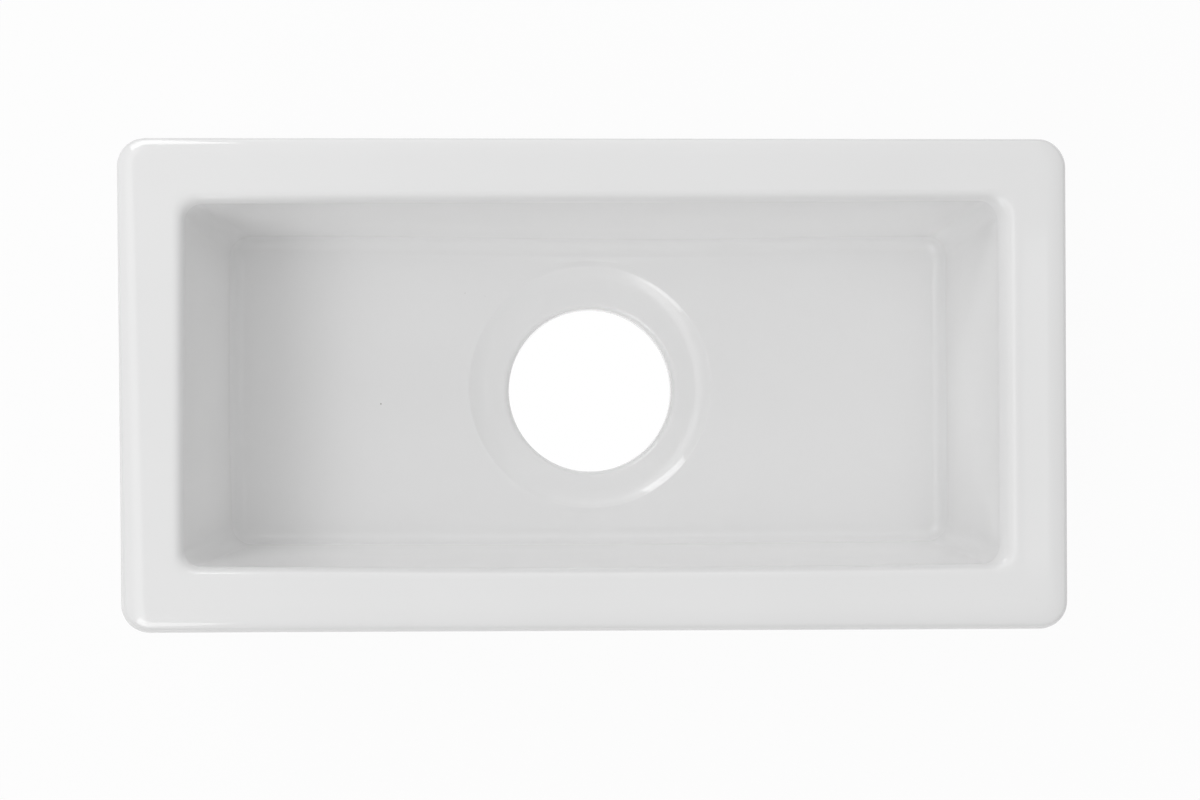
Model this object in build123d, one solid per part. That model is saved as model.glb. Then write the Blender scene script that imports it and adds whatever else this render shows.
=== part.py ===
from build123d import *
import math
import os

# Undermount fireclay bar sink: a fired clay body, its engobe and its glaze.
# Millimetres and degrees. +X runs along the length and +Z up. The origin is the centre of the underside,
# on the drain's axis.

# Outside, over the glaze
OUTER_LENGTH = 481.5
OUTER_WIDTH = 249.5
HEIGHT = 140.0
FLANGE_THICKNESS = 22.0
FLANGE_OVERHANG = 12.0
FLANGE_CORNER_R = 14.5
RIM_OUTER_ROUNDING = 5.5
FLANGE_UNDER_ROUNDING = 4.0
FLANGE_ROOT_R = 7.0
TUB_DRAFT = 3.5
TUB_CORNER_R = 18.0
BASE_ROUNDING = 6.0

# Bowl, over the glaze: its length and width are at the rim's level, before the rim's rounding
BOWL_LENGTH = 414.0
BOWL_WIDTH = 185.0
BOWL_CORNER_R = 9.0
BOWL_DRAFT = 3.9
RIM_INNER_ROUNDING = 6.0
FLOOR_HEIGHT = 24.0
FLOOR_COVE_R = 8.0
FLOOR_FALL = 1.2
FLOOR_LEDGE = 0.5
FLOOR_CORNER_R = 4.0

# Drain: an open hole for a 90 mm waste, in a recess with a sloping seat
DRAIN_R = 45.75
DRAIN_LIP_R = 4.0
SEAT_R = 62.0
SEAT_SLOPE = 6.0
SEAT_BLEND_R = 4.0
RECESS_R = 68.0
RECESS_DROP = 3.1

# Underside: a flat foot band, a shallow panel inside it, and a flat boss round the drain
FOOT_BAND = 24.0
PANEL_DEPTH = 4.0
PANEL_CORNER_R = 12.0
PANEL_ROUNDING = 2.5
BOSS_R = 66.0
BOSS_SETBACK = 2.0

# Coats: their thickness, and the height of their lower edges outside and in the drain's throat
GLAZE = 0.6
ENGOBE = 0.7
GLAZE_EDGE = 12.0
ENGOBE_EDGE = 9.5
GLAZE_THROAT_EDGE = BOSS_SETBACK + 1.5
ENGOBE_THROAT_EDGE = BOSS_SETBACK + 0.8

# How far a cutting shape runs past what it cuts
OVERRUN = 20.0


def run(height, draft):
    """How far a drafted wall leans over a height."""
    return height * math.tan(math.radians(draft))


def set_in(t, draft):
    """How far a drafted wall moves level when it moves t square to itself."""
    return t / math.cos(math.radians(draft))


def upright_block(length, width, corner_r, low, high):
    """A block with rounded upright corners."""
    outline = RectangleRounded(length, width, corner_r)
    return extrude(Pos(0, 0, low) * outline, amount=high - low)


def drafted_block(length, width, corner_r, draft, high, low):
    """A block of the given size at its top, which narrows downwards by the draft on each side."""
    top = Pos(0, 0, high) * Rectangle(length, width)
    block = extrude(top, amount=low - high, taper=draft)
    corners = [edge for edge in block.edges() if abs(edge.tangent_at(0.5).Z) > 0.9]
    return fillet(corners, corner_r)


def lowest_edges(shape):
    """The edges round a shape's lowest face."""
    return shape.faces().sort_by(Axis.Z)[0].edges()


def highest_edges(shape):
    """The edges round a shape's highest face."""
    return shape.faces().sort_by(Axis.Z)[-1].edges()


def bowl(t):
    """The bowl's space, larger by t all over."""
    spread = 2 * (set_in(t, BOWL_DRAFT) + run(OVERRUN, BOWL_DRAFT))
    space = drafted_block(
        BOWL_LENGTH + spread,
        BOWL_WIDTH + spread,
        BOWL_CORNER_R + t,
        BOWL_DRAFT,
        HEIGHT + OVERRUN,
        FLOOR_HEIGHT - t,
    )
    return fillet(lowest_edges(space), FLOOR_COVE_R + t)


def floor_dish(t):
    """The floor's fall, from the foot of the cove to the edge of the drain recess."""
    inset = 2 * (run(HEIGHT - FLOOR_HEIGHT, BOWL_DRAFT) + FLOOR_COVE_R + FLOOR_LEDGE)
    outline = RectangleRounded(BOWL_LENGTH - inset, BOWL_WIDTH - inset, FLOOR_CORNER_R)
    high = FLOOR_HEIGHT - t
    return loft([Pos(0, 0, high) * outline, Pos(0, 0, high - FLOOR_FALL) * Circle(RECESS_R)])


def moved_left(points, t):
    """The inner points of an open outline, with each side moved t to the left of its way."""
    moved = []
    for before, here, after in zip(points, points[1:], points[2:]):
        ways = [(here - before).normalized(), (after - here).normalized()]
        one, two = [Vector(-way.Z, 0, way.X) for way in ways]
        moved.append(here + (one + two) * (t / (1 + one.dot(two))))
    return moved


def drain_space(t):
    """The drain recess, its sloping seat and the throat, larger by t all over."""
    ring_height = FLOOR_HEIGHT - FLOOR_FALL
    seat_height = ring_height - RECESS_DROP
    lip_height = seat_height - run(SEAT_R - DRAIN_R, SEAT_SLOPE)
    outline = [
        Vector(RECESS_R + OVERRUN, 0, ring_height),
        Vector(RECESS_R, 0, ring_height),
        Vector(SEAT_R, 0, seat_height),
        Vector(DRAIN_R, 0, lip_height),
        Vector(DRAIN_R, 0, -OVERRUN),
    ]
    edge, seat, lip = moved_left(outline, t)
    low = Vector(lip.X, 0, -OVERRUN)
    wall = FilletPolyline(edge, seat, lip, low, radius=[SEAT_BLEND_R + t, DRAIN_LIP_R - t])
    rest = Polyline(low, Vector(0, 0, low.Z), Vector(0, 0, edge.Z), edge)
    return revolve(make_face(wall + rest), Axis.Z)


def flange(t):
    """The rim's flange, smaller by t all over."""
    block = upright_block(
        OUTER_LENGTH - 2 * t,
        OUTER_WIDTH - 2 * t,
        FLANGE_CORNER_R - t,
        HEIGHT - FLANGE_THICKNESS + t,
        HEIGHT - t,
    )
    block = fillet(lowest_edges(block), FLANGE_UNDER_ROUNDING - t)
    return fillet(highest_edges(block), RIM_OUTER_ROUNDING - t)


def tub(t):
    """The tapered tub below the rim, smaller by t on its sides. Its base stays, and its top is in the flange."""
    into_flange = FLANGE_THICKNESS / 2
    shrink = 2 * (FLANGE_OVERHANG + set_in(t, TUB_DRAFT) - run(into_flange, TUB_DRAFT))
    block = drafted_block(
        OUTER_LENGTH - shrink,
        OUTER_WIDTH - shrink,
        TUB_CORNER_R - t,
        TUB_DRAFT,
        HEIGHT - FLANGE_THICKNESS + into_flange,
        0,
    )
    return fillet(lowest_edges(block), BASE_ROUNDING)


def is_root(edge, height):
    """Whether an edge is where the tub meets the flange's underside."""
    middle = edge.position_at(0.5)
    overhang = min(OUTER_LENGTH / 2 - abs(middle.X), OUTER_WIDTH / 2 - abs(middle.Y))
    return abs(middle.Z - height) < 0.01 and overhang > (FLANGE_OVERHANG + FLANGE_UNDER_ROUNDING) / 2


def outside(t):
    """The sink's outer form as one block, smaller by t all over but at its base."""
    block = flange(t) + tub(t)
    height = HEIGHT - FLANGE_THICKNESS + t
    return fillet([edge for edge in block.edges() if is_root(edge, height)], FLANGE_ROOT_R + t)


def underside_space():
    """The shallow panel under the floor, with the boss round the drain left standing in it."""
    inset = 2 * (FLANGE_OVERHANG + run(HEIGHT - FLANGE_THICKNESS, TUB_DRAFT) + FOOT_BAND)
    panel = upright_block(
        OUTER_LENGTH - inset, OUTER_WIDTH - inset, PANEL_CORNER_R, -OVERRUN, PANEL_DEPTH
    )
    boss = Pos(0, 0, BOSS_SETBACK + OVERRUN / 2) * Cylinder(BOSS_R, OVERRUN)
    return fillet(highest_edges(panel), PANEL_ROUNDING) - boss


def sink(t):
    """The whole sink, with every coated surface set in by t."""
    whole = outside(t) - bowl(t) - floor_dish(t) - drain_space(t) - underside_space()
    rim = whole.faces().sort_by(Axis.Z)[-1]
    return fillet(rim.inner_wires()[0].edges(), RIM_INNER_ROUNDING - t)


def below(edge, throat_edge):
    """All that lies below a coat's lower edges."""
    slab = Pos(0, 0, edge - OVERRUN) * Box(2 * OUTER_LENGTH, 2 * OUTER_WIDTH, 2 * OVERRUN)
    throat = Pos(0, 0, throat_edge - OVERRUN) * Cylinder(BOSS_R, 2 * OVERRUN)
    return slab - Pos(0, 0, edge - OVERRUN) * Cylinder(BOSS_R, 3 * OVERRUN) + throat


glazed = sink(0)
primed = sink(GLAZE)
clay_body = sink(GLAZE + ENGOBE)
engobe_coat = primed - below(ENGOBE_EDGE, ENGOBE_THROAT_EDGE) - clay_body
glaze_coat = glazed - below(GLAZE_EDGE, GLAZE_THROAT_EDGE) - primed

os.makedirs("parts", exist_ok=True)
export_step(clay_body, "parts/clay_body.step")
export_step(engobe_coat, "parts/engobe_coat.step")
export_step(glaze_coat, "parts/glaze_coat.step")
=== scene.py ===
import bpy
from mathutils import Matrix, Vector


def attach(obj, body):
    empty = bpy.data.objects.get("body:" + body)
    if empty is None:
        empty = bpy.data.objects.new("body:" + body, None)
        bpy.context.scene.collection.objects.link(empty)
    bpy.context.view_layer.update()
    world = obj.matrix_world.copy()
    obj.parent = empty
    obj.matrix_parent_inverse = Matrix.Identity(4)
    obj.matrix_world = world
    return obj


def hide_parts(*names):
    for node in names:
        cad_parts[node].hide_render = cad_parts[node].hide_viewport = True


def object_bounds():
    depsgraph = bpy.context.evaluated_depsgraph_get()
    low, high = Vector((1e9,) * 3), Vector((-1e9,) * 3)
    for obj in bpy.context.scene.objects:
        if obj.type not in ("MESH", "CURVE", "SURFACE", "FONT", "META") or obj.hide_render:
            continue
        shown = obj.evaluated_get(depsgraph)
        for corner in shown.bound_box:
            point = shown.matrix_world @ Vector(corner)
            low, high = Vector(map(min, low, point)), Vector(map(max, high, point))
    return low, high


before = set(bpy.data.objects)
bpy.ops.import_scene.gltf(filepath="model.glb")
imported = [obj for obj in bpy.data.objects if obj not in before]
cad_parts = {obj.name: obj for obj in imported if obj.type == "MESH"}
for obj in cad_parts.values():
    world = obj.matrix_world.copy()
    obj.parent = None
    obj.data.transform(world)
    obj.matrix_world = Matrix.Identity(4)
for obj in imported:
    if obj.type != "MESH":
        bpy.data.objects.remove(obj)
CAD_BOX = [list(corner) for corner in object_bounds()]

import math
from collections import namedtuple
from functools import reduce

import bpy
from mathutils import Vector

bl_info = {
    "name": "Fireclay Sink",
    "version": (1, 0, 0),
    "blender": (4, 5, 0),
    "location": "3D View > Sidebar > Sink",
    "description": "Makes a glazed fireclay sink and a plain studio for it",
    "category": "Object",
}

MM = 0.001
LOW, HIGH = CAD_BOX
OUTER_LENGTH, OUTER_WIDTH, HEIGHT = [(high - low) / MM for low, high in zip(LOW, HIGH)]

# The photograph's frame, which the camera's lens is worked out from
PHOTO_WIDTH_PX = 1200
SENSOR_WIDTH_MM = 36.0


def length(default, about):
    """A length that a user may change, given here in millimetres."""
    metres = default * MM
    return bpy.props.FloatProperty(description=about, default=metres, unit="LENGTH", precision=5)


def angle(default, about):
    """An angle that a user may change, given here in degrees."""
    radians = math.radians(default)
    return bpy.props.FloatProperty(description=about, default=radians, unit="ROTATION")


def level(default, about):
    """A plain number that a user may change."""
    return bpy.props.FloatProperty(description=about, default=default, min=0.0)


def count(default, about):
    """A whole number that a user may change."""
    return bpy.props.IntProperty(description=about, default=default, min=1)


def colour(default, about):
    """A colour that a user may change."""
    return bpy.props.FloatVectorProperty(
        description=about, default=default, subtype="COLOR", min=0.0, max=1.0
    )


def lengths(default, about, **more):
    """A place, a shift or a pair of lengths that a user may change, in metres."""
    more = {"subtype": "XYZ", "unit": "LENGTH", **more}
    return bpy.props.FloatVectorProperty(description=about, default=default, **more)


class SinkSizes(bpy.types.PropertyGroup):
    """The sizes that the sink's sections are drawn from."""

    outer_length: length(OUTER_LENGTH, "Over the rim, along X")
    outer_width: length(OUTER_WIDTH, "Over the rim, along Y")
    height: length(HEIGHT, "From the foot to the top of the rim")
    fall_slope: angle(20, "How steep the rim has become where the tight turn starts")
    back_fall: length(23.5, "Large radius of the rim's fall to its back edge")
    back_rounding: length(2.3, "Radius of the tight turn at the rim's back edge")
    front_fall: length(30, "The fall along the front edge")
    front_rounding: length(5.9, "The tight turn along the front edge")
    right_fall: length(27, "The fall along the right edge")
    right_rounding: length(4, "The tight turn along the right edge")
    flange_corner: length(14.5, "Radius of the rim's four corners, seen from above")
    flange_depth: length(22, "How deep the rim's side is")
    flange_overhang: length(12, "How far the rim stands out past the tub")
    flange_under_rounding: length(4, "Radius of the flange's lower edge")
    flange_root: length(7, "Radius where the flange meets the tub")
    tub_corner: length(18, "Radius of the tub's upright corners outside")
    tub_draft: angle(3.5, "How far the tub's outside leans in, going down")
    base_rounding: length(6, "Radius of the tub's lowest edge")
    bowl_length: length(414, "At the rim's level, before its rounding")
    bowl_width: length(185, "At the rim's level, before its rounding")
    bowl_draft: angle(3.9, "How far the bowl's walls lean in, going down")
    mouth_corner: length(9, "Radius of the bowl's corners at the walls' top")
    rim_corner: length(11, "Radius of the same corners where the flat rim starts")
    foot_corner: length(11.5, "Radius of the bowl's corners at the walls' foot")
    floor_corner: length(5, "Radius of the same corners where the floor starts")
    inner_rounding: length(6, "Radius where the rim turns down into the bowl")
    right_inner_rounding: length(9.5, "The same radius at the bowl's right end")
    floor_height: length(24, "The floor's level at the walls' foot")
    floor_fall: length(1.2, "How far the floor drops to the edge of the recess")
    cove: length(8, "Radius where the walls meet the floor")
    drain_radius: length(45.75, "Radius of the open drain hole")
    lip_rounding: length(4, "Radius of the hole's upper edge")
    seat_radius: length(62, "Outer radius of the sloping seat")
    seat_slope: angle(6.0, "The seat's fall towards the hole")
    seat_blend: length(24, "Radius between the seat and the recess's side")
    recess_radius: length(68, "Radius of the recess's edge in the floor")
    recess_drop: length(3.1, "How far the seat lies below the recess's edge")
    recess_edge: length(2, "Radius of the recess's edge in section")
    recess_shift: lengths((0.0, 1.8 * MM, 0.0), "How far off the drain's axis the recess sits")
    foot_band: length(24, "Width of the flat band that the sink stands on")
    panel_depth: length(4, "How far the underside is hollowed inside the foot")
    panel_corner: length(12, "Radius of the hollowed panel's corners")
    panel_rounding: length(2.5, "Radius at the panel's edge")
    boss_radius: length(66, "Radius of the boss round the drain, below")
    boss_setback: length(2, "How far the boss stays above the foot")


class CoatSizes(bpy.types.PropertyGroup):
    """How thick the engobe and the glaze lie and where they end."""

    glaze: length(0.6, "Thickness of the glaze")
    engobe: length(0.7, "Thickness of the engobe under the glaze")
    glaze_edge: length(12, "Height of the glaze's lower edge outside")
    engobe_edge: length(9.5, "Height of the engobe's lower edge outside")
    glaze_throat_edge: length(3.5, "Height of the glaze's lower edge in the drain")
    engobe_throat_edge: length(2.8, "Height of the engobe's lower edge in the drain")
    edge_wander: length(0.7, "How far the lower edges wander up and down")
    wave_height: length(0.08, "Height of the glaze's broad waves")
    wave_size: length(60, "Length of the glaze's broad waves")
    seed: level(3.0, "Picks another run of waves")


class MeshSteps(bpy.types.PropertyGroup):
    """How finely the sections and rings are divided."""

    length_steps: count(96, "Faces along each long side")
    width_steps: count(50, "Faces along each short side")
    corner_steps: count(12, "Faces round each corner")
    floor_rings: count(18, "Rings from the recess to the foot of the walls")
    rim_rings: count(10, "Rings across the flat of the rim")
    panel_rings: count(14, "Rings across the hollowed panel underneath")
    hidden_stride: count(6, "Keeps one ring of this many where coats cover each other")


class SinkLook(bpy.types.PropertyGroup):
    """The colours of the sink's three materials."""

    glaze_colour: colour((0.92, 0.92, 0.92), "The white glaze")
    fault_colour: colour((0.12, 0.1, 0.08), "The specks and pinholes in the glaze")
    engobe_colour: colour((0.80, 0.77, 0.70), "The matt slip under the glaze")
    clay_colour: colour((0.62, 0.50, 0.36), "The bare fired clay")
    grog_colour: colour((0.36, 0.27, 0.18), "The dark grains in the clay")


class StudioLook(bpy.types.PropertyGroup):
    """The camera, the lamps and the ground."""

    camera_place: lengths((-0.021892, -0.029178, 1.1641), "Where the camera stands")
    camera_turn: lengths(
        (0.02077, -0.02397, -0.00229), "How the camera is turned", subtype="EULER", unit="ROTATION"
    )
    focal_px: level(2033.2, "The lens, in pixels of a frame 1200 pixels wide")
    room_light: level(0.625, "Brightness of the room overhead and on the right")
    left_light: level(0.95, "How much brighter the band of ceiling on the left is")
    back_light: level(1.5, "How much brighter it is at the back")
    back_heading: angle(90, "Which way the back light lies, round from +X")
    back_zenith: angle(60, "How far the back light is from overhead")
    back_reach: level(0.45, "How far the back light spreads")
    front_light: level(0.85, "How much brighter it is at the front left")
    front_heading: angle(235, "Which way the front light lies, round from +X")
    front_zenith: angle(39, "How far the front light is from overhead")
    front_reach: level(0.38, "How far the front light spreads")
    panel_light: level(0.6, "How much brighter the ceiling panel on the right is")
    dip: level(0.14, "How much dimmer it is straight overhead")
    dip_reach: level(0.6, "How far the dimmer part spreads")
    low_share: level(0.45, "How much of the room's light is left near the ground")
    softbox_place: lengths((-0.50, 0.66, 0.62), "The back softbox. The front one mirrors it")
    softbox_size: lengths((0.37, 0.21), "Length and width of each softbox", size=2, subtype="NONE")
    back_softbox: level(4.2, "Brightness of the back softbox")
    front_softbox: level(2.7, "Brightness of the front softbox")
    ground_colour: colour((0.8, 0.8, 0.8), "The pale ground")
    ground_whiteness: level(0.94, "How much of the ground's own white hides the shadow")


# The walls whose rims differ. The left rim runs from the back one's shape to the front one's.
WALLS = ("back", "front", "right")

# The walls of a pressed fireclay bowl wander by a millimetre or two. Each run gives how far a wall stands
# outwards of its true line, in millimetres, at even steps from -X to +X, or from -Y to +Y.
WALL_RUNS = {
    "Back wall, mouth": (-1.7, -0.5, 0.2, 0.5, 1.0, 1.5),
    "Back wall, foot": (0.4, 0.8, -0.6, -1.6, 0.3, 0.4),
    "Front wall, mouth": (-1.6, -0.7, 0.4, 0.5, -0.2, -1.4),
    "Front wall, foot": (0.5, 0.8, 0.9, 0.6, 0.0, -0.9),
    "Left wall, foot": (0.4, -0.9, 0.7, 0.9, 0.6, 0.1),
    "Left side, outside": (-2.3, -1.9, -1.45, -1.0, -0.5, -0.05),
    "Right side, outside": (-0.65, -0.5, -0.4, -0.3, -0.15, -0.05),
}

# More than any wall wanders, in millimetres
RUN_RANGE = 3.0

# How large the left and right corner of the bowl's mouth are beside the size given for all four
MOUTH_CORNERS = {"front": (0.9, 1.0), "back": (0.95, 1.15)}

# Swellings that the hand left, each with its middle, its reach and its height in millimetres
MARKS = {"Kink in the left cove": ((-195.0, -30.0, 27.0), 9.0, 1.1)}

# Faults of the firing, each with its place in millimetres, its radius and how dark it is
FAULTS = {
    "Speck on the floor": ((-117.2, -7.5, 23.3), 0.5, 0.8),
    "Speck by the recess": ((-70.1, 54.6, 23.0), 0.35, 0.3),
    "Second speck by the recess": ((-58.9, 52.9, 23.0), 0.35, 0.3),
    "Pinhole in the front wall": ((164.3, -91.8, 130.0), 0.6, 0.95),
    "Dull patch in the front left corner": ((-198.0, -80.7, 60.0), 1.3, 0.12),
    "Second dull patch": ((-197.5, -88.0, 75.0), 1.2, 0.1),
}

# The room as the sink sees it: how far a thing lies to the side for each metre that it lies up. The band of
# ceiling on the left comes up over the first stretch and ends over the second.
LEFT_BAND = ((-0.9, -0.5), (-0.35, -0.25))
PANEL_ALONG = (0.232, 0.37)
PANEL_ACROSS = (-0.066, 0.103)
PANEL_EDGE = 0.002

# The heights on a sphere one metre round between which the room's light comes to its full strength
LOW_TO_FULL = (0.28, 0.58)

# How finely a section's arcs are divided, and the fine step for those that the camera sees best
ARC_STEP = math.radians(9)
FINE_STEP = math.radians(3)

# How far above a coat's lower edge its rings start to follow the edge's wander
EDGE_REACH = 8 * MM

# Points nearer than this are one, which closes the seam where a loop of rings ends
MERGE_DISTANCE = 2e-6

# A white bowl is lit mostly by its own walls, so the light has to bounce often.
DIFFUSE_BOUNCES = 12

# How far the studio's floor goes on each side, in metres
FLOOR_REACH = 6.0

Corner = namedtuple("Corner", "across up rounding plan steps arc_step", defaults=(0, (0, 0), 1, ARC_STEP))
Corner.__doc__ = """A corner of a section. Plan has the corner radii of the rings where its rounding starts
and where it ends, steps divides the straight leg that leads to it, and arc_step divides its rounding."""

Sample = namedtuple("Sample", "across up facing_out facing_up plan")
Sample.__doc__ = """A point of a section, with the way its surface faces and its ring's corner radius."""

Ring = namedtuple("Ring", "half_x half_y height corner circle roundness facing_out facing_up side depth edge")
Ring.__doc__ = """A rounded rectangle, a circle, or between the two by its roundness. Side is 1 outside the
sink and 0 in its bowl, depth runs from 0 at the mouth to 1 at the floor, and edge is 1 where a coat's lower
edge wanders."""

Walk = namedtuple("Walk", "along_x along_y rect_way circle_way")
Walk.__doc__ = """Where a column of the grid stands on its way round: along each pair of sides from -1 to 1,
the way a rectangle faces there, and the way a circle does."""

# A ring's numbers are stored in threes, which start at these
THREES = range(0, len(Ring._fields), 3)


def run(height, draft):
    """How far a drafted wall leans over a height."""
    return height * math.tan(draft)


def facing(heading):
    """The way a surface faces when its section is walked with the air on the left."""
    return -math.sin(heading), math.cos(heading)


def eased(step, steps):
    """A step's share of the way, with the steps closer together near both ends."""
    return 0.5 - 0.5 * math.cos(math.pi * step / steps)


def leg(start, end, steps, heading, plan):
    """Samples inside a straight leg, over which the rings' corner radius changes evenly."""
    before, after = plan
    samples = []
    for step in range(1, steps):
        share = eased(step, steps)
        samples.append(Sample(*start.lerp(end, share), *facing(heading), before + (after - before) * share))
    return samples


def arc(start, heading, turn, corner):
    """Samples round a corner, over which the rings' corner radius changes as the arc goes across."""
    steps = max(1, round(abs(turn) / corner.arc_step)) if corner.rounding else 0
    radius = math.copysign(corner.rounding, turn)
    centre = start + Vector(facing(heading)) * radius
    ways = [heading + turn * step / max(1, steps) for step in range(steps + 1)]
    points = [centre - Vector(facing(way)) * radius for way in ways]
    width = abs(points[-1].x - start.x)
    before, after = corner.plan
    samples = []
    for way, point in zip(ways, points):
        share = abs(point.x - start.x) / width if width else 0.0
        samples.append(Sample(*point, *facing(way), before + (after - before) * share))
    return samples


def rounded_section(corners):
    """Walks a section from its first corner to its last, with those between rounded by arcs."""
    places = [Vector(corner[:2]) for corner in corners]
    headings = [math.atan2(b.y - a.y, b.x - a.x) for a, b in zip(places, places[1:])]
    turns = [math.remainder(b - a, math.tau) for a, b in zip(headings, headings[1:])] + [0.0]
    samples = [Sample(*places[0], *facing(headings[0]), corners[0].plan[1])]
    for corner, corner_place, heading, turn in zip(corners[1:], places[1:], headings, turns):
        here = Vector(samples[-1][:2])
        way = Vector((math.cos(heading), math.sin(heading)))
        start = corner_place - way * (corner.rounding * math.tan(abs(turn) / 2))
        samples += leg(here, start, corner.steps, heading, (samples[-1].plan, corner.plan[0]))
        samples += arc(start, heading, turn, corner)
    return samples


def drain_section(sizes, low):
    """From the throat's lower edge up over the lip, the seat and the recess's side to the floor."""
    edge_height = sizes.floor_height - sizes.floor_fall
    seat_height = edge_height - sizes.recess_drop
    lip_height = seat_height - run(sizes.seat_radius - sizes.drain_radius, sizes.seat_slope)
    margin = 3 * MM
    return rounded_section([
        Corner(sizes.drain_radius, low),
        Corner(sizes.drain_radius, lip_height, sizes.lip_rounding, steps=4),
        Corner(sizes.seat_radius, seat_height, sizes.seat_blend, steps=6, arc_step=FINE_STEP),
        Corner(sizes.recess_radius, edge_height, sizes.recess_edge, steps=3, arc_step=FINE_STEP),
        Corner(sizes.recess_radius + margin, edge_height, steps=3),
    ])


def bowl_section(sizes, wall):
    """From the floor up the cove and one of the walls and over the rim's edge, out from the bowl's size."""
    rounding = sizes.right_inner_rounding if wall == "right" else sizes.inner_rounding
    rim_corner = sizes.rim_corner + rounding - sizes.inner_rounding
    foot = -run(sizes.height - sizes.floor_height, sizes.bowl_draft)
    ledge = 0.5 * MM
    margin = 1 * MM
    cove_plan = (sizes.floor_corner, sizes.foot_corner)
    return rounded_section([
        Corner(foot - sizes.cove - ledge, sizes.floor_height, plan=(0, sizes.floor_corner)),
        Corner(foot, sizes.floor_height, sizes.cove, cove_plan, arc_step=FINE_STEP),
        Corner(0, sizes.height, rounding, (sizes.mouth_corner, rim_corner), steps=24, arc_step=FINE_STEP),
        Corner(rounding + margin, sizes.height, plan=(rim_corner, 0)),
    ])


def outer_section(sizes, wall, low):
    """From the rim over its edge along one of the walls, under the flange and down the tub, in from the
    outer size."""
    fall = getattr(sizes, wall + "_fall")
    rounding = getattr(sizes, wall + "_rounding")
    slope = sizes.fall_slope
    fall_start = fall * math.tan(slope / 2)
    turn_start = rounding * math.tan(math.pi / 4 - slope / 2)
    fall_across = (fall_start + turn_start) * math.cos(slope)
    fall_drop = (fall_start + turn_start) * math.sin(slope)
    flange_corner, tub_corner = sizes.flange_corner, sizes.tub_corner
    flat_corner = max(flange_corner - fall_across - fall_start, MM)
    turn_corner = flange_corner - turn_start
    under_rounding = sizes.flange_under_rounding
    bottom = sizes.height - sizes.flange_depth
    root_plan = (tub_corner + sizes.flange_root, tub_corner)
    tub_low = -sizes.flange_overhang - run(bottom - low, sizes.tub_draft)
    margin = 1 * MM
    return rounded_section([
        Corner(-fall_across - fall_start - margin, sizes.height, plan=(0, flat_corner)),
        Corner(-fall_across, sizes.height, fall, (flat_corner, turn_corner), arc_step=FINE_STEP),
        Corner(0, sizes.height - fall_drop, rounding, (turn_corner, flange_corner)),
        Corner(0, bottom, under_rounding, (flange_corner, flange_corner - under_rounding), steps=4),
        Corner(-sizes.flange_overhang, bottom, sizes.flange_root, root_plan, steps=2, arc_step=FINE_STEP),
        Corner(tub_low, low, plan=(tub_corner, 0), steps=20),
    ])


def circle_ring(sample, coat):
    """A round ring, set into the wall by a coat's depth."""
    across, height, facing_out, facing_up, _ = sample
    radius = across - coat * facing_out
    height -= coat * facing_up
    return Ring(radius, radius, height, radius, radius, 1, facing_out, facing_up, 0, 1, 0)


def wall_ring(sample, half_size, coat, side, depth):
    """A rounded rectangle, set into the wall by a coat's depth."""
    across, height, facing_out, facing_up, plan = sample
    across -= coat * facing_out
    height -= coat * facing_up
    least_corner = 0.5 * MM
    corner = max(plan - coat * facing_out, least_corner)
    half_x, half_y = half_size[0] + across, half_size[1] + across
    return Ring(half_x, half_y, height, corner, half_y, 0, facing_out, facing_up, side, depth, 0)


def between(one, two, share, **fixed):
    """A ring between two others."""
    return Ring(*[a + (b - a) * share for a, b in zip(one, two)])._replace(**fixed)


def across_floor(round_ring, rect_ring, count):
    """Rings that go from a circle to a rounded rectangle, which all have the rectangle's size and the
    circle's radius, and differ by their roundness."""
    rect = {name: getattr(rect_ring, name) for name in ("half_x", "half_y", "corner")}
    shares = [ring / count for ring in range(1, count)]
    return [
        between(round_ring, rect_ring, share, roundness=1 - share, circle=round_ring.circle, **rect)
        for share in shares
    ]


def half_outside(sizes):
    """Half the sink's outer length and width."""
    return sizes.outer_length / 2, sizes.outer_width / 2


def skin(sizes, steps, wall, coat, lows):
    """The rings of a surface that lies a coat's depth under the glaze, from its lower edge in the throat to
    the one outside."""
    throat_low, low = lows
    drain = [circle_ring(sample, coat) for sample in drain_section(sizes, throat_low)]
    half_bowl = (sizes.bowl_length / 2, sizes.bowl_width / 2)
    bowl_depth = sizes.height - sizes.floor_height
    bowl = [
        wall_ring(sample, half_bowl, coat, 0, (sizes.height - sample.up) / bowl_depth)
        for sample in bowl_section(sizes, wall)
    ]
    outer = [wall_ring(sample, half_outside(sizes), coat, 1, 0) for sample in outer_section(sizes, wall, low)]
    floor = across_floor(drain[-1], bowl[0], steps.floor_rings)
    rim_shares = [eased(ring, steps.rim_rings) for ring in range(1, steps.rim_rings)]
    rim = [between(bowl[-1], outer[0], share) for share in rim_shares]
    return drain + floor + bowl + rim + outer


def thinned(rings, stride):
    """Fewer rings, for a surface that another one covers. The first and last stay."""
    return rings[:-1:stride] + [rings[-1]]


def edge_share(ring, low):
    """How much a ring follows the wander of a coat's lower edge: all at the edge, nothing above."""
    share = (low + EDGE_REACH - ring.height) / EDGE_REACH
    return min(1.0, max(0.0, share)) if ring.side == 1 else 0.0


def coat_rings(sizes, steps, wall, depths, lows):
    """A coat's closed loop of rings: its face, and back along its hidden side, with a bead at each edge."""
    outer_depth, inner_depth = depths
    throat_low, low = lows
    face = skin(sizes, steps, wall, outer_depth, lows)
    back = thinned(skin(sizes, steps, wall, inner_depth, lows), steps.hidden_stride)
    bead = (inner_depth - outer_depth) / 4
    edge_bead = between(face[-1], back[-1], 0.5, height=low - bead)
    throat_bead = between(face[0], back[0], 0.5, height=throat_low - bead)
    rings = [*face, edge_bead, *back[::-1], throat_bead]
    return [ring._replace(edge=edge_share(ring, low)) for ring in rings]


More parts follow.
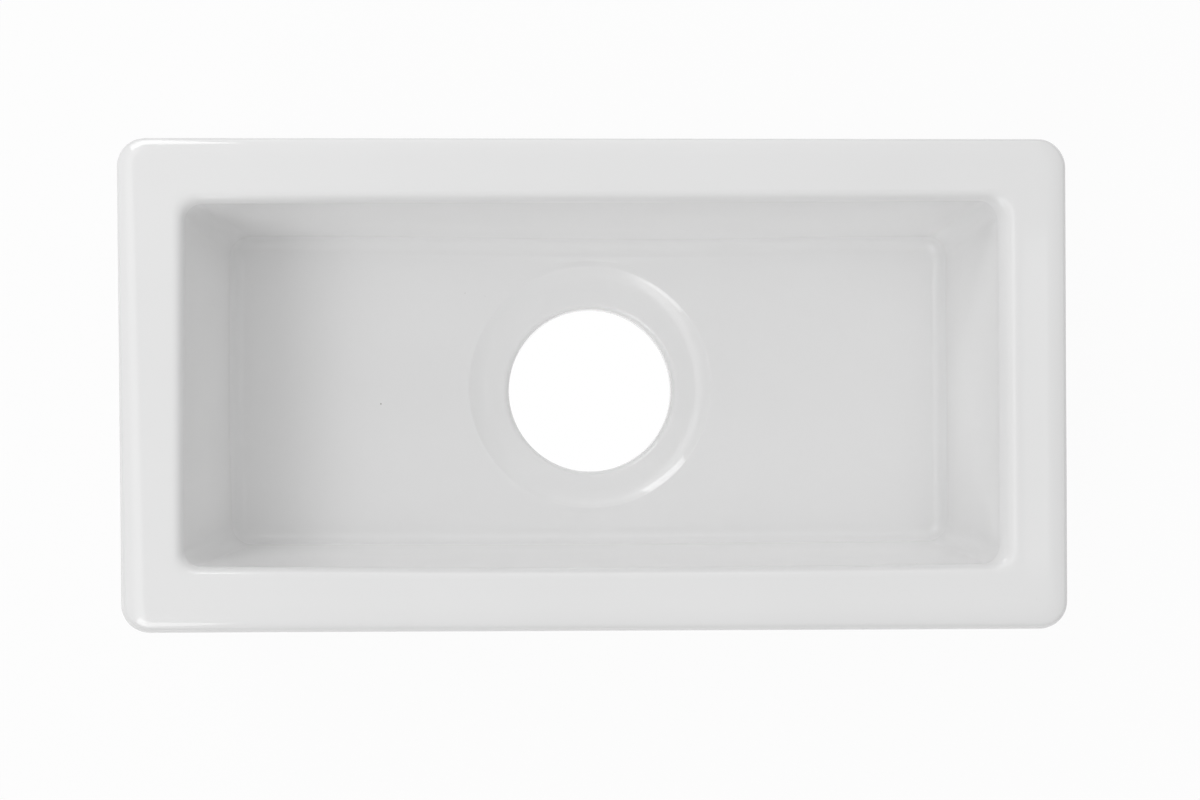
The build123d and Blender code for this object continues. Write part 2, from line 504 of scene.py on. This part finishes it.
def underside_rings(sizes, steps, coat, low):
    """The bare foot, the panel and the boss, from the tub's side to the throat."""
    base = -sizes.flange_overhang - run(sizes.height - sizes.flange_depth, sizes.tub_draft)
    side_low = base + run(low, sizes.tub_draft) - coat
    panel = base - sizes.foot_band
    foot_edge = 0.8 * MM
    foot_plan = (sizes.tub_corner, max(sizes.tub_corner - sizes.base_rounding, MM))
    edge_plan = (sizes.panel_corner + foot_edge, sizes.panel_corner)
    panel_in = sizes.panel_corner - sizes.panel_rounding
    margin = 1 * MM
    foot_section = rounded_section([
        Corner(side_low, low, plan=(0, sizes.tub_corner)),
        Corner(base - coat, 0, sizes.base_rounding, foot_plan, steps=2, arc_step=FINE_STEP),
        Corner(panel, 0, foot_edge, edge_plan, steps=4),
        Corner(panel, sizes.panel_depth, sizes.panel_rounding, (sizes.panel_corner, panel_in), steps=2),
        Corner(panel - sizes.panel_rounding - margin, sizes.panel_depth, plan=(panel_in, 0)),
    ])
    boss_foot = 0.2 * MM
    boss_edge = 0.6 * MM
    boss_margin = 0.5 * MM
    boss_section = rounded_section([
        Corner(sizes.boss_radius + boss_margin, sizes.panel_depth),
        Corner(sizes.boss_radius, sizes.panel_depth, boss_foot),
        Corner(sizes.boss_radius, sizes.boss_setback, boss_edge),
        Corner(sizes.drain_radius + coat + boss_edge, sizes.boss_setback, steps=4),
    ])
    foot = [wall_ring(sample, half_outside(sizes), 0, 1, 0) for sample in foot_section[1:]]
    boss = [circle_ring(sample, 0) for sample in boss_section]
    flat = across_floor(boss[0], foot[-1], steps.panel_rings)
    return foot + flat[::-1] + boss


def body_rings(sizes, steps, wall, coat):
    """The clay body's closed loop of rings: the coated side, then the bare underside."""
    low = 8 * MM
    throat_low = sizes.boss_setback + 0.4 * MM
    coated = thinned(skin(sizes, steps, wall, coat, (throat_low, low)), steps.hidden_stride)
    return coated + underside_rings(sizes, steps, coat, low)


class Wiring:
    """Adds nodes to a tree, each with its settings and its inputs, in one call."""

    def __init__(self, tree):
        self.tree = tree

    def add(self, kind, inputs=None, **settings):
        """A new node. Inputs go by name or number, and take a value or another node's output."""
        node = self.tree.nodes.new(kind)
        for name, value in settings.items():
            setattr(node, name, value)
        for name, value in (inputs or {}).items():
            self.feed(value, self.pick(node.inputs, name))
        return node

    def feed(self, value, socket):
        """Gives a socket a value or another node's output."""
        if isinstance(value, bpy.types.NodeSocket):
            self.tree.links.new(value, socket)
        else:
            socket.default_value = value

    def pick(self, sockets, name):
        """The socket in use that has this name or number."""
        if isinstance(name, int):
            return sockets[name]
        return next(socket for socket in sockets if socket.name == name and socket.enabled)

    def out(self, kind, inputs=None, output=0, **settings):
        """A new node's output."""
        return self.pick(self.add(kind, inputs, **settings).outputs, output)

    def math(self, operation, *values):
        """The result of a sum on numbers, taken one after the other."""
        if len(values) == 1:
            return self.out("ShaderNodeMath", {0: values[0]}, operation=operation)
        return reduce(lambda a, b: self.out("ShaderNodeMath", {0: a, 1: b}, operation=operation), values)

    def total(self, *values):
        """The sum of several numbers."""
        return self.math("ADD", *values)

    def times(self, *values):
        """The product of several numbers."""
        return self.math("MULTIPLY", *values)

    def less(self, one, two):
        """One number less another."""
        return self.math("SUBTRACT", one, two)

    def whole(self, operation, *values):
        """The result of a sum on whole numbers."""
        return self.out("FunctionNodeIntegerMath", dict(enumerate(values)), operation=operation)

    def vector(self, operation, *values, output=0):
        """The result of a sum on vectors."""
        return self.out("ShaderNodeVectorMath", dict(enumerate(values)), output=output, operation=operation)

    def scaled(self, vector, factor):
        """A vector times a number."""
        return self.out("ShaderNodeVectorMath", {0: vector, 3: factor}, operation="SCALE")

    def moved(self, vector, *shifts):
        """A place moved by several vectors."""
        return reduce(lambda a, b: self.vector("ADD", a, b), shifts, vector)

    def upright(self, height):
        """A vector straight up."""
        return self.joined(0.0, 0.0, height)

    def joined(self, x, y, z):
        """Three numbers as a vector."""
        return self.out("ShaderNodeCombineXYZ", {0: x, 1: y, 2: z})

    def parts(self, vector):
        """A vector's three numbers."""
        return self.add("ShaderNodeSeparateXYZ", {0: vector}).outputs

    def away(self, vector, middle):
        """How far a place lies from another."""
        return self.vector("DISTANCE", vector, middle, output="Value")

    def ramp(self, value, start, end, low=0.0, high=1.0, **settings):
        """Runs from low to high as the value goes from start to end."""
        inputs = {"Value": value, "From Min": start, "From Max": end, "To Min": low, "To Max": high}
        return self.out("ShaderNodeMapRange", inputs, **settings)

    def ease(self, value, start, end, low=0.0, high=1.0, kind="SMOOTHSTEP"):
        """The same with a soft start and end."""
        return self.ramp(value, start, end, low, high, interpolation_type=kind)

    def mix(self, share, one, two, kind="FLOAT"):
        """From one value to another by a share."""
        output = ("FLOAT", "VECTOR", "RGBA").index(kind)
        return self.out("ShaderNodeMix", {"Factor": share, "A": one, "B": two}, output=output, data_type=kind)

    def noise(self, vector, scale, detail, **inputs):
        """Noise with as many cells to a metre as its scale."""
        inputs = {"Vector": vector, "Scale": scale, "Detail": detail, **inputs}
        dimensions = "4D" if "W" in inputs else "3D"
        return self.out("ShaderNodeTexNoise", inputs, noise_dimensions=dimensions)


# The settings that the tree of rings takes as inputs
RING_INPUTS = {
    "sink_steps": ("length_steps", "width_steps", "corner_steps"),
    "sink_sizes": ("outer_length", "outer_width", "drain_radius", "recess_radius", "recess_shift"),
    "sink_coats": ("wave_height", "wave_size", "edge_wander", "seed"),
}


def wall_run(w, name, share):
    """How far a wall stands out of its true line, in metres, along its run from 0 to 1."""
    node = w.add("ShaderNodeFloatCurve", {"Value": share})
    node.label = name
    values = WALL_RUNS[name]
    last = len(values) - 1
    places = [(number / last, 0.5 + value / (2 * RUN_RANGE)) for number, value in enumerate(values)]
    curve = node.mapping.curves[0]
    curve.points[0].location = places[0]
    curve.points[-1].location = places[-1]
    for curve_place in places[1:-1]:
        curve.points.new(*curve_place)
    node.mapping.update()
    return w.times(w.less(node.outputs[0], 0.5), 2 * RUN_RANGE * MM)


def mouth_corner_share(w, walk, mouth):
    """How much larger a corner of the bowl is than the size given, which only its mouth shows in full."""
    right, back = w.ramp(walk.along_x, -1.0, 1.0), w.ramp(walk.along_y, -1.0, 1.0)
    corners = [w.mix(right, *MOUTH_CORNERS[wall]) for wall in ("front", "back")]
    return w.mix(mouth, 1.0, w.mix(back, *corners))


def walk_round(w, given, column):
    """Where a column stands on its way round, from the front end of the right side."""
    around = 0.0
    ramps = []
    for name in ("width_steps", "corner_steps", "length_steps", "corner_steps") * 2:
        start, around = around, w.total(around, given[name])
        ramps.append(w.ramp(column, start, around))
    right, _, back, _, left, _, front, _ = ramps
    along_y = w.total(-1.0, w.times(right, 2.0), w.times(left, -2.0))
    along_x = w.total(1.0, w.times(back, -2.0), w.times(front, 2.0))
    heading = w.times(w.total(*ramps[1::2]), math.pi / 2)
    rect_way = w.joined(w.math("COSINE", heading), w.math("SINE", heading), 0.0)
    centred = w.less(column, w.times(given["width_steps"], 0.5))
    turn = w.times(w.math("DIVIDE", centred, around), math.tau)
    circle_way = w.joined(w.math("COSINE", turn), w.math("SINE", turn), 0.0)
    return Walk(along_x, along_y, rect_way, circle_way)


def ring_at(w, section, number, walk):
    """A ring's numbers at a column of the grid: those for the back, the front or the right wall, or between
    them."""
    front_share = w.ramp(walk.along_y, 1.0, -1.0)
    right_share = w.ease(w.parts(walk.rect_way)[0], 0.0, 1.0)

    def stored(wall, first):
        name = {"Name": f"{wall}_{first}"}
        value = w.out("GeometryNodeInputNamedAttribute", name, "Attribute", data_type="FLOAT_VECTOR")
        inputs = {"Geometry": section, "Value": value, "Index": number}
        return w.out("GeometryNodeSampleIndex", inputs, data_type="FLOAT_VECTOR", domain="POINT")

    numbers = []
    for first in THREES:
        back, front, right = [stored(wall, first) for wall in WALLS]
        numbers += w.parts(w.mix(right_share, w.mix(front_share, back, front, "VECTOR"), right, "VECTOR"))
    return Ring(*numbers[:len(Ring._fields)])


def plan_points(w, given, walk, ring):
    """Where a column of the grid crosses a ring, and which way it faces there, seen from above."""
    mouth = w.times(w.less(1.0, ring.side), w.less(1.0, ring.depth))
    corner = w.times(ring.corner, mouth_corner_share(w, walk, mouth))
    inner_x = w.times(walk.along_x, w.less(ring.half_x, corner))
    inner_y = w.times(walk.along_y, w.less(ring.half_y, corner))
    rect_point = w.moved(w.joined(inner_x, inner_y, 0.0), w.scaled(walk.rect_way, corner))

    off_centre = w.times(w.ramp(ring.circle, given["drain_radius"], given["recess_radius"]), ring.roundness)
    round_point = w.moved(w.scaled(walk.circle_way, ring.circle), w.scaled(given["recess_shift"], off_centre))
    plan_point = w.mix(ring.roundness, rect_point, round_point, "VECTOR")
    way = w.mix(ring.roundness, walk.rect_way, walk.circle_way, "VECTOR")
    return plan_point, way


def wandering(w, given, plan_point, ring):
    """How far the walls wander from their true lines at a place, as a sideways shift."""
    x, y, _ = w.parts(plan_point)
    to_right = w.total(w.math("DIVIDE", x, given["outer_length"]), 0.5)
    to_back = w.total(w.math("DIVIDE", y, given["outer_width"]), 0.5)
    to_left, to_front = w.less(1.0, to_right), w.less(1.0, to_back)

    def bowl_wall(name):
        mouth, foot = [wall_run(w, f"{name}, {end}", to_right) for end in ("mouth", "foot")]
        return w.mix(ring.depth, mouth, foot)

    in_bowl = w.times(w.less(1.0, ring.side), w.less(1.0, ring.roundness))
    bowl_y = w.less(w.times(bowl_wall("Back wall"), to_back), w.times(bowl_wall("Front wall"), to_front))
    bowl_left = w.times(ring.depth, wall_run(w, "Left wall, foot", to_back), to_left)
    outer_left = w.times(wall_run(w, "Left side, outside", to_back), to_left)
    outer_right = w.times(wall_run(w, "Right side, outside", to_back), to_right)
    outer_x = w.times(w.less(outer_right, outer_left), ring.side)
    return w.joined(w.less(outer_x, w.times(bowl_left, in_bowl)), w.times(bowl_y, in_bowl), 0.0)


def in_metres(middle):
    """A place given in millimetres."""
    return tuple(number * MM for number in middle)


def marks(w, point):
    """How far the hand's marks lift the surface at a point, in metres."""
    lift = 0.0
    for middle, reach, height in MARKS.values():
        away = w.away(point, in_metres(middle))
        lift = w.total(lift, w.ease(away, 0.0, reach * MM, height * MM, 0.0, kind="SMOOTHERSTEP"))
    return lift


def glaze_waves(w, given, point):
    """How far the glaze's broad waves lift the surface at a point, which is never above its true level."""
    noise = w.noise(point, w.math("DIVIDE", 1.0, given["wave_size"]), 2.0, W=given["seed"], Roughness=0.45)
    return w.times(noise, given["wave_height"], -2.0)


def edge_shift(w, given, plan_point, ring):
    """How far a coat's lower edge wanders up or down."""
    noise = w.noise(plan_point, 30.0, 3.0, W=given["seed"])
    return w.times(w.less(noise, 0.5), given["edge_wander"], 2.0, ring.edge)


def ring_tree(values):
    """The node tree that skins a closed loop of rings, from the wire that holds one ring at each vertex."""
    tree = bpy.data.node_groups.new("Sink rings", "GeometryNodeTree")
    tree.is_modifier = True
    tree.interface.new_socket("Section", in_out="INPUT", socket_type="NodeSocketGeometry")
    kinds = {int: "Int", float: "Float", Vector: "Vector", bpy.types.Material: "Material"}
    for name, value in values.items():
        tree.interface.new_socket(name, in_out="INPUT", socket_type="NodeSocket" + kinds[type(value)])
    tree.interface.new_socket("Skin", in_out="OUTPUT", socket_type="NodeSocketGeometry")
    w = Wiring(tree)
    given = tree.nodes.new("NodeGroupInput").outputs
    section = given["Section"]

    rings = w.out("GeometryNodeAttributeDomainSize", {"Geometry": section}, output="Point Count")
    straight = w.times(w.total(given["length_steps"], given["width_steps"]), 2.0)
    columns = w.total(straight, w.times(given["corner_steps"], 4.0))
    rows = w.whole("ADD", rings, 1)
    row_length = w.whole("ADD", columns, 1)
    grid = w.out("GeometryNodeMeshGrid", {"Vertices X": rows, "Vertices Y": row_length})
    index = w.out("GeometryNodeInputIndex")
    number = w.whole("MODULO", w.whole("DIVIDE_FLOOR", index, row_length), rings)
    column = w.whole("MODULO", index, row_length)

    walk = walk_round(w, given, column)
    ring = ring_at(w, section, number, walk)
    plan_point, way = plan_points(w, given, walk, ring)
    true_point = w.moved(plan_point, wandering(w, given, plan_point, ring), w.upright(ring.height))
    outward = w.moved(w.scaled(way, ring.facing_out), w.upright(ring.facing_up))
    lift = w.total(glaze_waves(w, given, true_point), marks(w, true_point))
    position = w.moved(true_point, w.scaled(outward, lift), w.upright(edge_shift(w, given, plan_point, ring)))

    placed = w.out("GeometryNodeSetPosition", {"Geometry": grid, "Position": position})
    merged = w.out("GeometryNodeMergeByDistance", {"Geometry": placed, "Distance": MERGE_DISTANCE})
    smooth = w.out("GeometryNodeSetShadeSmooth", {"Geometry": merged, "Shade Smooth": True})
    realized = w.out("GeometryNodeRealizeInstances", {"Geometry": smooth})
    finished = w.out("GeometryNodeSetMaterial", {"Geometry": realized, "Material": given["material"]})
    result = tree.nodes.new("NodeGroupOutput")
    tree.links.new(finished, result.inputs["Skin"])
    return tree


def wire_mesh(name, rings_of_walls):
    """A bare wire with one vertex for each ring, which carries the ring's numbers at each wall."""
    mesh = bpy.data.meshes.new(name)
    points = [ring[:3] for ring in rings_of_walls["back"]]
    mesh.from_pydata(points, [(number, number + 1) for number in range(len(points) - 1)], [])
    for wall, rings in rings_of_walls.items():
        for first in THREES:
            three = [number for ring in rings for number in (*ring, 0.0)[first:first + 3]]
            layer = mesh.attributes.new(f"{wall}_{first}", "FLOAT_VECTOR", "POINT")
            layer.data.foreach_set("vector", three)
    return mesh


def in_scene(name, data):
    """A new object in the scene."""
    thing = bpy.data.objects.new(name, data)
    bpy.context.scene.collection.objects.link(thing)
    return thing


def moulded(name, rings_of_walls, material):
    """A finished piece from its rings, which are listed for each wall. The tree is evaluated, turned into a
    plain mesh and taken away."""
    wire = wire_mesh(name + " section", rings_of_walls)
    piece = in_scene(name, wire)
    values = {"material": material}
    for group, names in RING_INPUTS.items():
        values.update((name, getattr(getattr(bpy.context.scene, group), name)) for name in names)
    modifier = piece.modifiers.new("Rings", "NODES")
    modifier.node_group = bpy.data.node_groups.get("Sink rings") or ring_tree(values)
    identifiers = {item.name: item.identifier for item in modifier.node_group.interface.items_tree}
    for name, value in values.items():
        modifier[identifiers[name]] = value
    depsgraph = bpy.context.evaluated_depsgraph_get()
    piece_mesh = bpy.data.meshes.new_from_object(piece.evaluated_get(depsgraph), depsgraph=depsgraph)
    piece.modifiers.remove(modifier)
    piece.data = piece_mesh
    bpy.data.meshes.remove(wire)
    piece_mesh.name = name
    return piece


def shader(name, **values):
    """A new material with its wiring, its Principled shader and the place on the piece."""
    material = bpy.data.materials.new(name)
    material.use_nodes = True
    w = Wiring(material.node_tree)
    surface = material.node_tree.nodes["Principled BSDF"].inputs
    for socket, value in values.items():
        surface[socket].default_value = value
    return material, w, surface, w.out("ShaderNodeTexCoord", output="Object")


def paint(tint, share=1.0):
    """A colour for a socket, darkened to a share of itself."""
    return [*(value * share for value in tint), 1.0]


def grained(w, surface, height, strength, distance):
    """Gives a surface its fine relief."""
    inputs = {"Strength": strength, "Distance": distance, "Height": height}
    w.feed(w.out("ShaderNodeBump", inputs), surface["Normal"])


def faults(w, spot):
    """How dark the firing's faults make the glaze at a place."""
    dark = 0.0
    for middle, radius, darkness in FAULTS.values():
        away = w.away(spot, in_metres(middle))
        core, rim = 0.3 * radius * MM, 1.2 * radius * MM
        dark = w.math("MAXIMUM", dark, w.ease(away, core, rim, darkness, 0.0))
    return dark


def glaze_material(look):
    """White glassy glaze: a hard clear shine, a faint orange peel, cloudy whites and a few pinholes."""
    material, w, surface, spot = shader("White glaze", Roughness=0.05, IOR=1.52)
    cloud = w.ramp(w.noise(spot, 9.0, 3.0), 0.35, 0.65)
    white = w.mix(cloud, paint(look.glaze_colour, 0.985), paint(look.glaze_colour), "RGBA")
    w.feed(w.mix(faults(w, spot), white, paint(look.fault_colour), "RGBA"), surface["Base Color"])
    peel, swell = w.noise(spot, 260.0, 2.0), w.noise(spot, 45.0, 2.0)
    grained(w, surface, w.total(w.times(peel, 0.12), swell), strength=0.015, distance=1 * MM)
    return material


def engobe_material(look):
    """Matt white slip, a little uneven where the brush left it."""
    material, w, surface, spot = shader("Engobe", Roughness=0.8)
    streak = w.noise(spot, 120.0, 3.0)
    thickness = w.ramp(streak, 0.3, 0.7)
    slip = w.mix(thickness, paint(look.engobe_colour, 0.93), paint(look.engobe_colour), "RGBA")
    w.feed(slip, surface["Base Color"])
    grained(w, surface, streak, strength=0.3, distance=0.3 * MM)
    return material


def clay_material(look):
    """Bare fired clay: buff, matt, with darker grog and a sandy grain."""
    material, w, surface, spot = shader("Fired clay", Roughness=0.92)
    cloud = w.ramp(w.noise(spot, 22.0, 4.0), 0.3, 0.7)
    buff = w.mix(cloud, paint(look.clay_colour, 0.86), paint(look.clay_colour), "RGBA")
    grog = w.out("ShaderNodeTexVoronoi", {"Vector": spot, "Scale": 420.0})
    w.feed(w.mix(w.ramp(grog, 0.16, 0.10), buff, paint(look.grog_colour), "RGBA"), surface["Base Color"])
    grained(w, surface, w.noise(spot, 700.0, 3.0), strength=0.5, distance=0.3 * MM)
    return material


def made(name, rings_at, how, material, node):
    """Makes a piece from its rings at each wall, and says which body it moves with, which node it stands for
    and which finish it has."""
    scene = bpy.context.scene
    rings = {wall: rings_at(scene.sink_sizes, scene.sink_steps, wall, *how) for wall in WALLS}
    piece = moulded(name, rings, material(scene.sink_look))
    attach(piece, "root")
    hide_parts(node)
    return {"FINISHED"}


class SINK_OT_clay_body(bpy.types.Operator):
    """Press the clay body: bowl, rim, drain and the bare underside"""

    bl_idname = "sink.clay_body"
    bl_label = "Clay body"

    def execute(self, context):
        coats = context.scene.sink_coats
        coat = coats.glaze + coats.engobe
        return made("pressed_clay_body", body_rings, [coat], clay_material, "clay_body")


class SINK_OT_engobe(bpy.types.Operator):
    """Pour the engobe over the clay"""

    bl_idname = "sink.engobe"
    bl_label = "Engobe"

    def execute(self, context):
        coats = context.scene.sink_coats
        depths = (coats.glaze, coats.glaze + coats.engobe)
        lows = (coats.engobe_throat_edge, coats.engobe_edge)
        return made("poured_engobe", coat_rings, [depths, lows], engobe_material, "engobe_coat")


class SINK_OT_glaze(bpy.types.Operator):
    """Lay the white glaze over the engobe"""

    bl_idname = "sink.glaze"
    bl_label = "Glaze"

    def execute(self, context):
        coats = context.scene.sink_coats
        depths = (0.0, coats.glaze)
        lows = (coats.glaze_throat_edge, coats.glaze_edge)
        return made("white_glaze", coat_rings, [depths, lows], glaze_material, "glaze_coat")


def emptied(owner):
    """A material's or world's wiring, with its nodes cleared away, and what the light path tells."""
    owner.use_nodes = True
    owner.node_tree.nodes.clear()
    w = Wiring(owner.node_tree)
    return w, w.add("ShaderNodeLightPath").outputs


def white_ground(look, drain_radius):
    """A pale floor that looks white to the camera but still takes the sink's shadow, and that is quite white
    in the drain hole."""
    material = bpy.data.materials.new("White ground")
    w, paths = emptied(material)
    seen = w.math("MAXIMUM", *[paths[f"Is {kind} Ray"] for kind in ("Camera", "Glossy", "Transmission")])
    flat = w.vector("MULTIPLY", w.out("ShaderNodeTexCoord", output="Object"), (1.0, 1.0, 0.0))
    from_drain = w.vector("LENGTH", flat, output="Value")
    # Painted light: inside the drain's circle the ground glows fully white to the camera and hides the shade
    # under the sink
    whiteness = w.ramp(from_drain, drain_radius, drain_radius * 1.3, 1.0, look.ground_whiteness)
    matt = w.out("ShaderNodeBsdfDiffuse", {"Color": paint(look.ground_colour)})
    glow = w.out("ShaderNodeEmission", {"Color": paint((1.0, 1.0, 1.0)), "Strength": 1.0})
    shown = w.out("ShaderNodeMixShader", {0: w.times(seen, whiteness), 1: matt, 2: glow})
    w.add("ShaderNodeOutputMaterial", {"Surface": shown})
    return material


def near_way(w, way, heading, zenith, reach):
    """One in a given direction, falling to none at a reach from it, on a sphere one metre round."""
    sideways = math.sin(zenith)
    middle = (sideways * math.cos(heading), sideways * math.sin(heading), math.cos(zenith))
    return w.ease(w.away(way, middle), 0.0, reach, 1.0, 0.0)


def ceiling_panel(w, along, across):
    """One inside the ceiling's lit panel on the right, which the rim's glaze mirrors with crisp edges."""
    inside = []
    for side, (start, end) in ((along, PANEL_ALONG), (across, PANEL_ACROSS)):
        inside.append(w.ramp(side, start - PANEL_EDGE, start + PANEL_EDGE))
        inside.append(w.ramp(side, end - PANEL_EDGE, end + PANEL_EDGE, 1.0, 0.0))
    return w.times(*inside)


def room_light(w, look):
    """The soft light of the room: dim on the right, brighter on the left and most at the back, with less
    straight overhead, where the camera stands, and less near the ground."""
    way = w.out("ShaderNodeTexCoord", output="Generated")
    way_x, way_y, way_z = w.parts(way)
    least_z = 0.01
    overhead_z = w.math("MAXIMUM", way_z, least_z)
    along, across = w.math("DIVIDE", way_x, overhead_z), w.math("DIVIDE", way_y, overhead_z)
    left_start, left_end = LEFT_BAND
    left = w.times(w.ease(along, *left_end, 1.0, 0.0), w.ease(along, *left_start))
    back = near_way(w, way, look.back_heading, look.back_zenith, look.back_reach)
    front = near_way(w, way, look.front_heading, look.front_zenith, look.front_reach)
    overhead = near_way(w, way, 0.0, 0.0, look.dip_reach)
    light = w.total(
        look.room_light,
        w.times(left, look.left_light),
        w.times(back, look.back_light),
        w.times(front, look.front_light),
        w.times(ceiling_panel(w, along, across), look.panel_light),
        w.times(overhead, -look.dip),
    )
    return w.times(light, w.ease(way_z, *LOW_TO_FULL, look.low_share, 1.0))


def surroundings(look):
    """A world that lights the sink as the room does, and that the camera sees as white."""
    world = bpy.data.worlds.new("Studio surroundings")
    w, paths = emptied(world)
    strength = w.mix(paths["Is Camera Ray"], room_light(w, look), 1.0)
    background = w.out("ShaderNodeBackground", {"Color": paint((1.0, 1.0, 1.0)), "Strength": strength})
    w.add("ShaderNodeOutputWorld", {"Surface": background})
    return world


def pale_floor(look, drain_radius):
    """A large square of floor at the sink's foot."""
    mesh = bpy.data.meshes.new("studio_floor")
    turns = ((-1, -1), (1, -1), (1, 1), (-1, 1))
    mesh.from_pydata([(x * FLOOR_REACH, y * FLOOR_REACH, LOW[2]) for x, y in turns], [], [(0, 1, 2, 3)])
    mesh.materials.append(white_ground(look, drain_radius))
    in_scene("studio_floor", mesh)


def softbox(name, stand, target, size, radiance):
    """A rectangular lamp of a given brightness that faces its target, with its first side level."""
    lamp = bpy.data.lights.new(name, "AREA")
    lamp.shape = "RECTANGLE"
    lamp.size, lamp.size_y = size
    lamp.energy = radiance * math.pi * size[0] * size[1]
    holder = in_scene(name, lamp)
    holder.location = stand
    holder.rotation_euler = (Vector(target) - Vector(stand)).to_track_quat("-Z", "Y").to_euler()


def camera(look):
    """The camera that saw the photograph."""
    lens = bpy.data.cameras.new("camera")
    lens.sensor_width = SENSOR_WIDTH_MM
    lens.lens = look.focal_px * SENSOR_WIDTH_MM / PHOTO_WIDTH_PX
    lens.clip_start = 0.05
    holder = in_scene("camera", lens)
    holder.location = look.camera_place
    holder.rotation_euler = look.camera_turn
    return holder


class SINK_OT_studio(bpy.types.Operator):
    """Set up the floor, the surroundings, the lamps and the camera"""

    bl_idname = "sink.studio"
    bl_label = "Studio"

    def execute(self, context):
        scene = context.scene
        look = scene.sink_studio
        pale_floor(look, scene.sink_sizes.drain_radius)
        scene.world = surroundings(look)
        x, y, z = look.softbox_place
        rim_middle = (0.0, 0.0, HIGH[2])
        for name, side, radiance in (("back", 1, look.back_softbox), ("front", -1, look.front_softbox)):
            softbox("softbox_" + name, (x, side * y, HIGH[2] + z), rim_middle, look.softbox_size, radiance)
        scene.camera = camera(look)
        scene.view_settings.view_transform = "Standard"
        scene.cycles.diffuse_bounces = DIFFUSE_BOUNCES
        return {"FINISHED"}


class SINK_PT_panel(bpy.types.Panel):
    """The sizes and colours of the sink, and the steps of making it, in order"""

    bl_label = "Fireclay Sink"
    bl_idname = "SINK_PT_panel"
    bl_space_type = "VIEW_3D"
    bl_region_type = "UI"
    bl_category = "Sink"

    def draw(self, context):
        layout = self.layout
        for operator in OPERATORS:
            layout.operator(operator.bl_idname)
        for group_name in GROUPS:
            group = getattr(context.scene, group_name)
            column = layout.column(align=True)
            for name in group.__annotations__:
                column.prop(group, name, text=name.replace("_", " ").capitalize())


OPERATORS = (SINK_OT_clay_body, SINK_OT_engobe, SINK_OT_glaze, SINK_OT_studio)
GROUPS = {
    "sink_sizes": SinkSizes,
    "sink_coats": CoatSizes,
    "sink_steps": MeshSteps,
    "sink_look": SinkLook,
    "sink_studio": StudioLook,
}


def register():
    """Makes the settings, the operators and the panel known."""
    for name, group in GROUPS.items():
        bpy.utils.register_class(group)
        setattr(bpy.types.Scene, name, bpy.props.PointerProperty(type=group))
    for item in (*OPERATORS, SINK_PT_panel):
        bpy.utils.register_class(item)


def unregister():
    """Takes them away again."""
    for item in reversed((*OPERATORS, SINK_PT_panel)):
        bpy.utils.unregister_class(item)
    for name, group in reversed(GROUPS.items()):
        delattr(bpy.types.Scene, name)
        bpy.utils.unregister_class(group)


def main():
    """Makes every piece and the studio, and writes down both boxes."""
    register()
    bpy.ops.sink.clay_body()
    bpy.ops.sink.engobe()
    bpy.ops.sink.glaze()
    bpy.ops.sink.studio()


if __name__ == "__main__":
    main()
